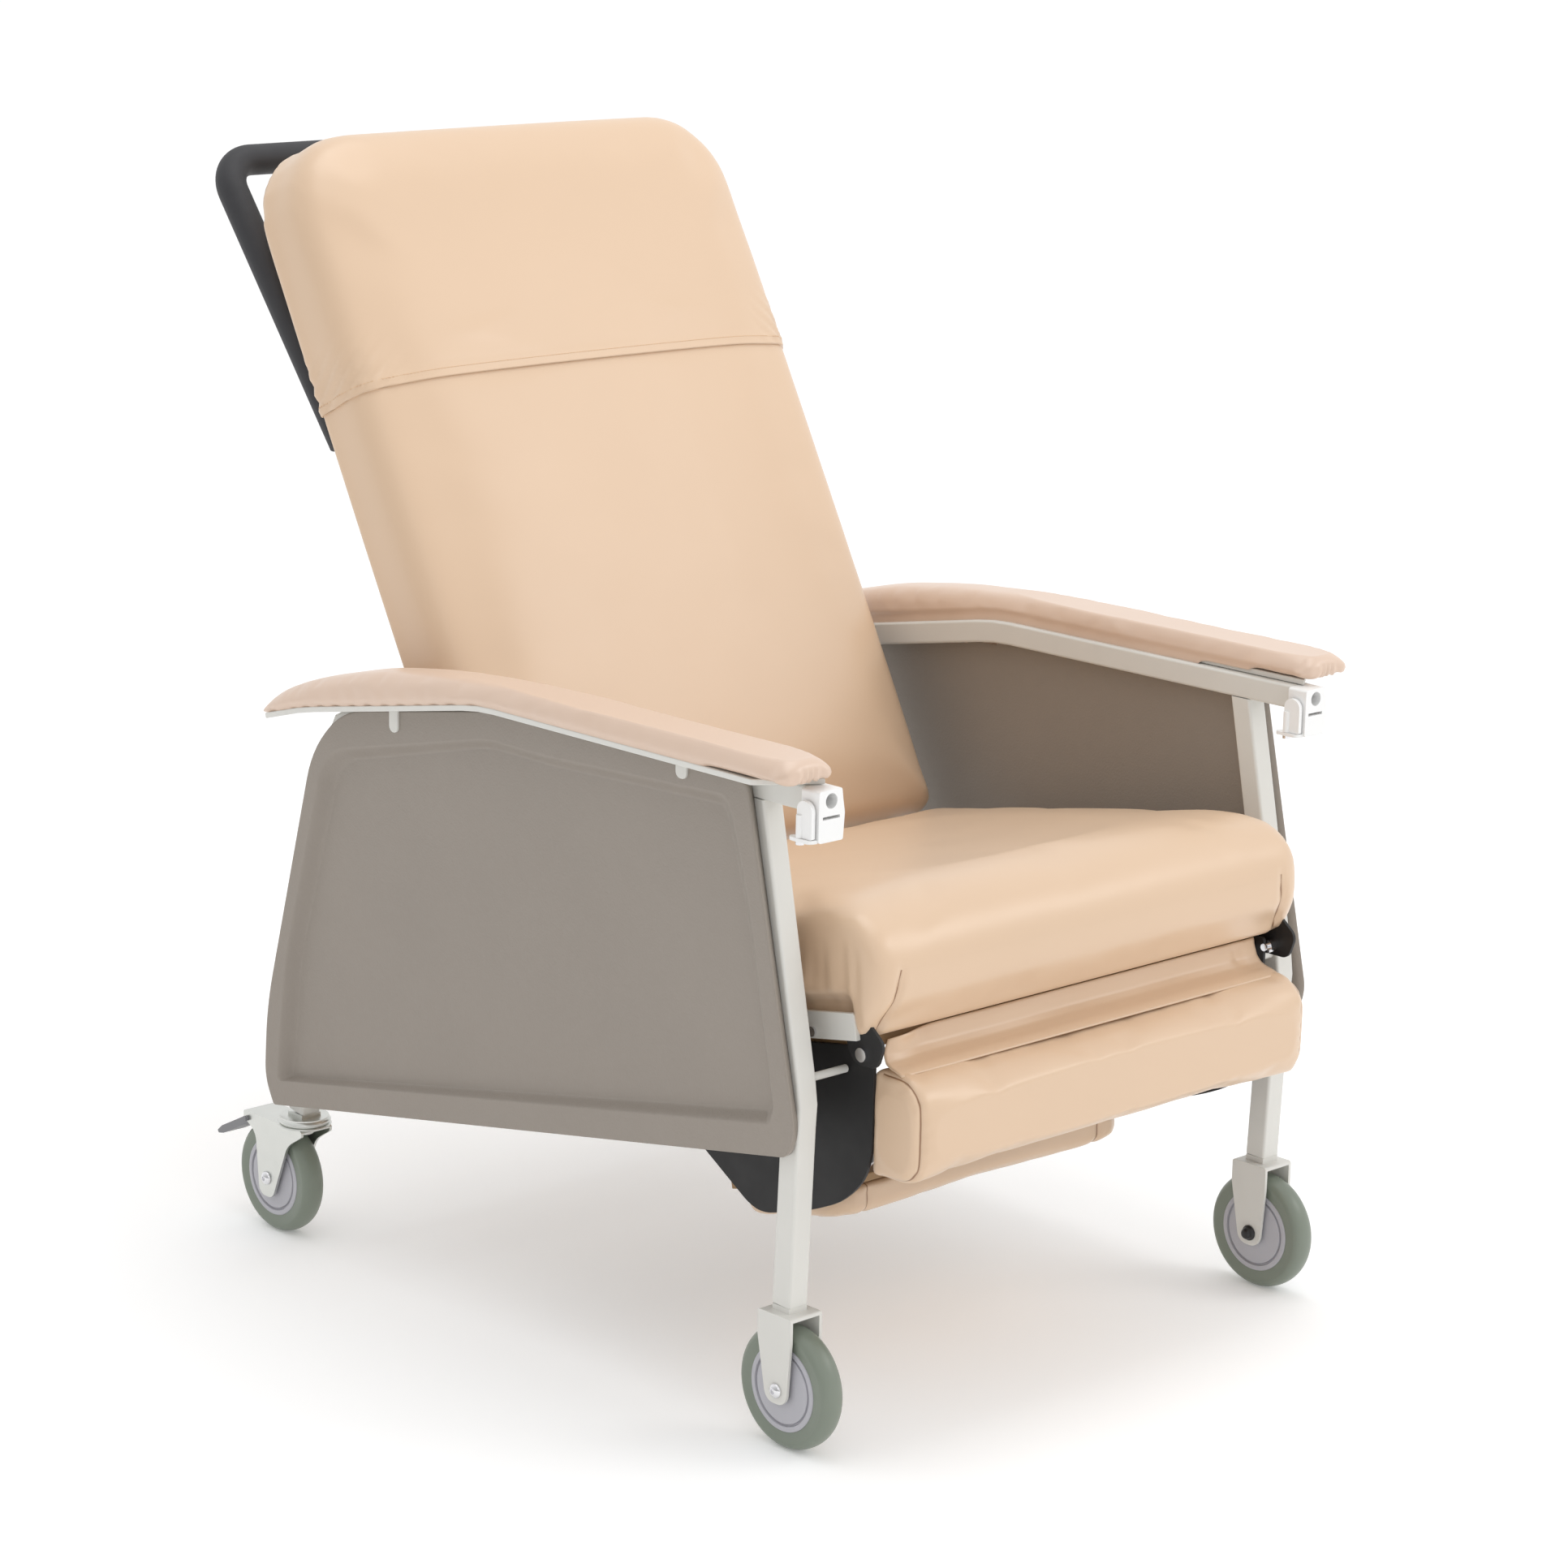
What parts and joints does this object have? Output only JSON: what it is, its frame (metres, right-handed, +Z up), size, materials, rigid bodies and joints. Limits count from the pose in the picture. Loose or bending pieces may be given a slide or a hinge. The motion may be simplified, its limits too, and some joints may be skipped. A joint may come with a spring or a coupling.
{
  "type": "patient recliner chair",
  "caption": "Wheeled patient recliner with padded back, seat and arms, leg rest with fold-out foot pad, side panels, push bar, tray clips and locking rear casters.",
  "frame": {"origin": "on the floor under the middle of the whole chair, at rest with the leg rest folded", "axes": "+Z up; the sitter faces -Y; +X is the sitter's left"},
  "size_m": [0.822, 1.1476, 1.2086],
  "materials": {
    "frame_paint": "satin powder coat",
    "zinc": "zinc plated steel",
    "steel": "plain steel strip",
    "push_bar": "dark coated bar",
    "bolt_steel": "bright bolts",
    "panel_plastic": "fine orange peel grain",
    "vinyl_cushion": "smooth tan vinyl over foam, weighed as foam",
    "vinyl_sheet": "smooth tan vinyl sheet",
    "vinyl_arm": "smooth tan vinyl over foam, weighed as foam",
    "board": "plain plywood",
    "white_plastic": "moulded nylon",
    "hub_plastic": "moulded hub",
    "tyre_rubber": "non-marking grey tread",
    "black_plastic": "black sheet",
    "pedal_grey": "moulded pedal",
    "foam_black": "closed cell foam sleeve"
  },
  "bodies": {
    "chair_frame": {"front_legs": "frame_paint", "arm_tubes": "frame_paint", "rear_legs": "frame_paint", "side_rails": "frame_paint", "cross_bars": "frame_paint", "seat_guides": "steel", "stop_stubs": "zinc", "side_panel_right": "panel_plastic", "side_panel_left": "panel_plastic", "panel_tabs": "frame_paint", "arm_strips": "frame_paint", "arm_pad_right": "vinyl_arm", "arm_pad_left": "vinyl_arm", "tray_clips": "white_plastic", "clip_screws": "bolt_steel", "front_forks": "zinc", "front_axles": "bolt_steel", "caster_mounts": "zinc", "seat_board": "board", "seat_cushion": "vinyl_cushion", "back_hinges": "steel"},
    "back_rest": {"back_arms": "steel", "back_straps": "steel", "back_board": "board", "back_cushion": "vinyl_cushion", "headrest_cover": "vinyl_sheet", "handle_clamps": "black_plastic", "handle_tube": "push_bar", "handle_grip": "foam_black"},
    "leg_slide": {"slide_bars": "frame_paint", "slide_screws": "bolt_steel", "calf_pins": "bolt_steel"},
    "leg_rest": {"calf_board": "board", "calf_pad": "vinyl_cushion", "guard_right": "black_plastic", "guard_left": "black_plastic", "flap": "vinyl_sheet", "foot_brackets": "steel", "foot_pins": "bolt_steel"},
    "foot_rest": {"foot_arms": "steel", "foot_board": "board", "foot_pad": "vinyl_cushion"},
    "front_wheel_right": {"front_hub_right": "hub_plastic", "front_tyre_right": "tyre_rubber"},
    "front_wheel_left": {"front_hub_left": "hub_plastic", "front_tyre_left": "tyre_rubber"},
    "caster_right": {"caster_fork_right": "zinc", "rear_axle_right": "bolt_steel"},
    "caster_left": {"caster_fork_left": "zinc", "rear_axle_left": "bolt_steel"},
    "rear_wheel_right": {"rear_hub_right": "hub_plastic", "rear_tyre_right": "tyre_rubber"},
    "rear_wheel_left": {"rear_hub_left": "hub_plastic", "rear_tyre_left": "tyre_rubber"},
    "pedal_right": {"brake_pedal_right": "pedal_grey"},
    "pedal_left": {"brake_pedal_left": "pedal_grey"},
    "latch_right": {"tray_latch_right": "white_plastic"},
    "latch_left": {"tray_latch_left": "white_plastic"}
  },
  "joints": [
    {"name": "back_recline", "type": "hinge", "parent": "chair_frame", "child": "back_rest", "pos_m": [0, 0.03002, 0.4084], "axis": [-1, 0, 0], "range_deg": [0, 50]},
    {"name": "leg_slide_out", "type": "slide", "parent": "chair_frame", "child": "leg_slide", "axis": [0, -0.9834, 0.1815], "range_m": [0, 0.06]},
    {"name": "leg_lift", "type": "hinge", "parent": "leg_slide", "child": "leg_rest", "pos_m": [0, -0.51278, 0.401], "axis": [-1, 0, 0], "range_deg": [0, 80]},
    {"name": "foot_unfold", "type": "hinge", "parent": "leg_rest", "child": "foot_rest", "pos_m": [0, -0.46078, 0.288], "axis": [-1, 0, 0], "range_deg": [0, 76]},
    {"name": "front_wheel_right_spin", "type": "hinge", "parent": "chair_frame", "child": "front_wheel_right", "pos_m": [-0.35, -0.47278, 0.0635], "axis": [1, 0, 0], "continuous": true},
    {"name": "front_wheel_left_spin", "type": "hinge", "parent": "chair_frame", "child": "front_wheel_left", "pos_m": [0.35, -0.47278, 0.0635], "axis": [1, 0, 0], "continuous": true},
    {"name": "caster_right_swivel", "type": "hinge", "parent": "chair_frame", "child": "caster_right", "pos_m": [-0.35, 0.31222, 0.14], "axis": [0, 0, 1], "continuous": true},
    {"name": "caster_left_swivel", "type": "hinge", "parent": "chair_frame", "child": "caster_left", "pos_m": [0.35, 0.31222, 0.14], "axis": [0, 0, 1], "continuous": true},
    {"name": "rear_wheel_right_spin", "type": "hinge", "parent": "caster_right", "child": "rear_wheel_right", "pos_m": [-0.35, 0.35422, 0.0635], "axis": [1, 0, 0], "continuous": true},
    {"name": "rear_wheel_left_spin", "type": "hinge", "parent": "caster_left", "child": "rear_wheel_left", "pos_m": [0.35, 0.35422, 0.0635], "axis": [1, 0, 0], "continuous": true},
    {"name": "pedal_right_press", "type": "hinge", "parent": "caster_right", "child": "pedal_right", "pos_m": [-0.35, 0.39022, 0.124], "axis": [-1, 0, 0], "range_deg": [0, 10]},
    {"name": "pedal_left_press", "type": "hinge", "parent": "caster_left", "child": "pedal_left", "pos_m": [0.35, 0.39022, 0.124], "axis": [-1, 0, 0], "range_deg": [0, 10]},
    {"name": "latch_right_turn", "type": "hinge", "parent": "chair_frame", "child": "latch_right", "pos_m": [-0.374, -0.49478, 0.64], "axis": [0, 0, -1], "range_deg": [0, 80]},
    {"name": "latch_left_turn", "type": "hinge", "parent": "chair_frame", "child": "latch_left", "pos_m": [0.326, -0.49478, 0.64], "axis": [0, 0, -1], "range_deg": [0, 80]}
  ],
  "couplings": [
    {"joint": "leg_slide_out", "follows": "leg_lift", "m_per_rad": 0.042},
    {"joint": "foot_unfold", "follows": "leg_lift", "ratio": 0.95}
  ]
}
